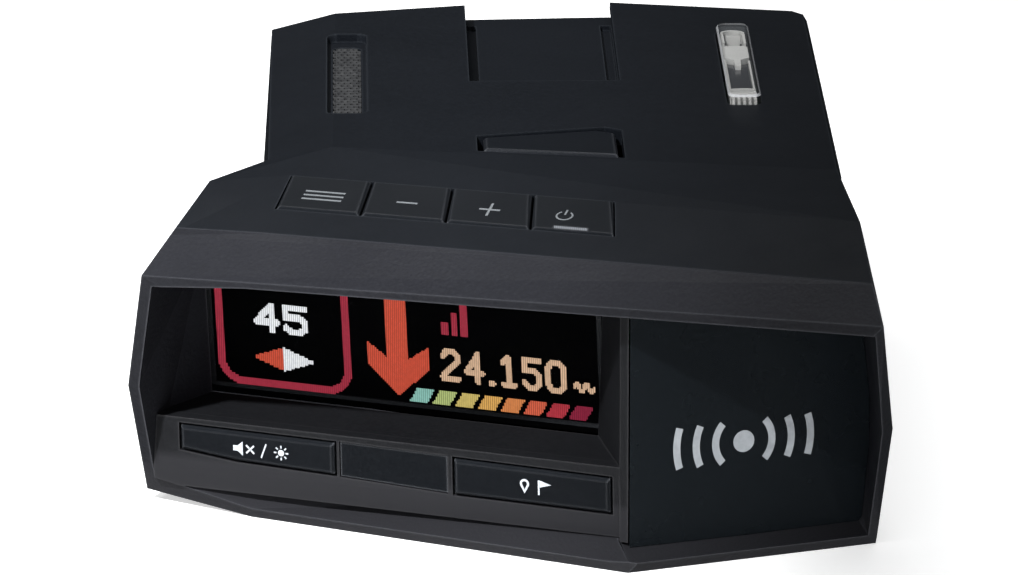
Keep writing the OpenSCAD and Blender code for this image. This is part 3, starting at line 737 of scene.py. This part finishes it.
def make_speaker_mesh():
    """A thin grey plate with staggered oval holes."""
    low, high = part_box("speaker_mesh")
    columns, rows, sides = 4, 27, 12
    pitch = ((high[0] - low[0]) / (columns + 0.5), (high[1] - low[1]) / rows)
    builder = bmesh.new()
    top = high[2]

    def edge_point(angle):
        x, y = math.cos(angle), math.sin(angle)
        reach = min(0.5 / abs(x) if abs(x) > 1e-6 else 9, 0.5 / abs(y) if abs(y) > 1e-6 else 9)
        return x * reach, y * reach

    def vertex(x, y):
        return builder.verts.new((x, y, top))

    for row in range(rows):
        y = low[1] + (row + 0.5) * pitch[1]
        shift = 0.5 * (row % 2)
        for column in range(columns):
            x = low[0] + (column + 0.5 + shift) * pitch[0]
            angles = [2 * math.pi * (k + 0.5) / sides for k in range(sides)]
            rim = [edge_point(a) for a in angles]
            outer = [vertex(x + u * pitch[0], y + v * pitch[1]) for u, v in rim]
            inner = [vertex(x + 0.33 * math.cos(a) * pitch[0], y + 0.33 * math.sin(a) * pitch[1])
                     for a in angles]
            for k in range(sides):
                j = (k + 1) % sides
                builder.faces.new((outer[k], outer[j], inner[j], inner[k]))
    paint = Paint("mesh_metal", (0.06, 0.061, 0.064), 0.4, metallic=0.3)
    paint.tint((0.04, 0.041, 0.044), (0.085, 0.087, 0.09), 1500)
    paint.gloss(0.3, 0.5, 900)
    piece = finish_mesh("speaker_grille", builder, paint.material, "case")
    thick = piece.modifiers.new("thickness", "SOLIDIFY")
    thick.thickness = 0.25 * MM
    thick.offset = -1
    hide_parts("speaker_mesh")


# ---------------------------------------------------------------- laser lens


def round_box(w, l, r, steps=6):
    """Outline of a w by l box about the origin, its corners rounded to r."""
    outline = []
    for k, (sx, sy) in enumerate(((1, 1), (-1, 1), (-1, -1), (1, -1))):
        for i in range(steps + 1):
            a = math.radians(90 * k + 90 * i / steps)
            outline.append((sx * (w / 2 - r) + r * math.cos(a), sy * (l / 2 - r) + r * math.sin(a)))
    return outline


def make_lens():
    low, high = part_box("laser_lens")
    centre = ((low[0] + high[0]) / 2, (low[1] + high[1]) / 2)
    w, l, corner, wall = 3.6, 31.2, 1.1, 0.32
    top, foot = high[2] / MM, 34.2
    place = Matrix.Translation((centre[0], centre[1], 0))
    clear = clear_plastic("clear_plastic", (0.3, 0.32, 0.34), 0.06, 0.07)
    # Painted highlight: a whitish rim on the cover's top bevel stands in for the bright glints along clear
    # plastic edges.
    rim = clear_plastic("painted_glint_edge", (0.75, 0.77, 0.8), 0.12, 0.55)
    frost = clear_plastic("frosted_plastic", (0.68, 0.68, 0.66), 0.3, 0.85)
    dark = moulded("lens_black", (0.008, 0.008, 0.01), (0.014, 0.013, 0.017), (0.15, 0.25))

    def block(name, outlines, z0, z1, material):
        builder = bmesh.new()
        for outline in in_metres(outlines):
            add_prism(builder, outline, z0 * MM, z1 * MM, place)
        return finish_mesh(name, builder, material, "case")

    builder = bmesh.new()
    outer = round_box(w, l, corner)
    inner = round_box(w - 2 * wall, l - 2 * wall, corner - wall)
    rings = []
    for outline, z in ((inner, foot), (outer, foot), (outer, top - 0.25),
                       (round_box(w - 0.4, l - 0.4, 0.9), top)):
        rings.append([builder.verts.new(place @ Vector((x * MM, y * MM, z * MM))) for x, y in outline])
    count = len(outer)
    for k, (a, b) in enumerate(zip(rings, rings[1:])):
        for i in range(count):
            j = (i + 1) % count
            face = builder.faces.new((a[i], a[j], b[j], b[i]))
            # The top bevel band takes the painted edge glint.
            face.material_index = 1 if k == 2 else 0
    under = [builder.verts.new((v.co.x, v.co.y, (top - 0.35) * MM)) for v in rings[0]]
    for i in range(count):
        j = (i + 1) % count
        builder.faces.new((under[i], under[j], rings[0][j], rings[0][i]))
    builder.faces.new(rings[3])
    builder.faces.new(under[::-1])
    cover = finish_mesh("lens_cover", builder, clear, "case")
    cover.data.materials.append(rim)
    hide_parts("laser_lens")

    block("lens_floor", [bar(-1.45, 1.45, -15, 15)], 34.4, 35.6, dark)
    block("lens_window", [bar(-1.2, 1.2, -10, 2)], 35.7, 36.5, dark)
    block("lens_diffuser", [[(-1.4, 3.4), (-0.4, 2.4), (-0.32, -0.2), (0.32, -0.2), (0.4, 2.4),
                             (1.4, 3.4), (1.4, 8), (0.9, 8.4), (-0.9, 8.4), (-1.4, 8)]], 36.3, 37,
          frost)
    block("lens_side_ribs", [bar(s * 1.32 - 0.1, s * 1.32 + 0.1, -12, 2.4) for s in (-1, 1)],
          35.7, 36.9, frost)
    block("lens_arcs", [arc_band((0, y), 4.2, 0.22, 70, 110) for y in (-14.5, -15.9)],
          36.4, 37.1, frost)
    block("lens_front_ribs", [bar(-1.45, 1.45, -12.5, -12.1)]
          + [bar(x - 0.15, x + 0.15, -15.1, -12.8) for x in (-1.2, -0.6, 0, 0.6, 1.2)],
          35.7, 37.1, frost)
    block("lens_rear_ribs", [arc_band((0, 13.6), 1.25, 0.26, 10, 170)]
          + [bar(-0.8, 0.8, 12.3, 12.6)]
          + [bar(s * 1.2 - 0.15, s * 1.2 + 0.15, 9.5, 13.4) for s in (-1, 1)],
          35.7, 37.1, frost)


make_camera()
make_lights()
make_floor()
dress_nodes()
make_display()
make_marks()
make_speaker_mesh()
make_lens()

SCENE.view_settings.view_transform = "Standard"
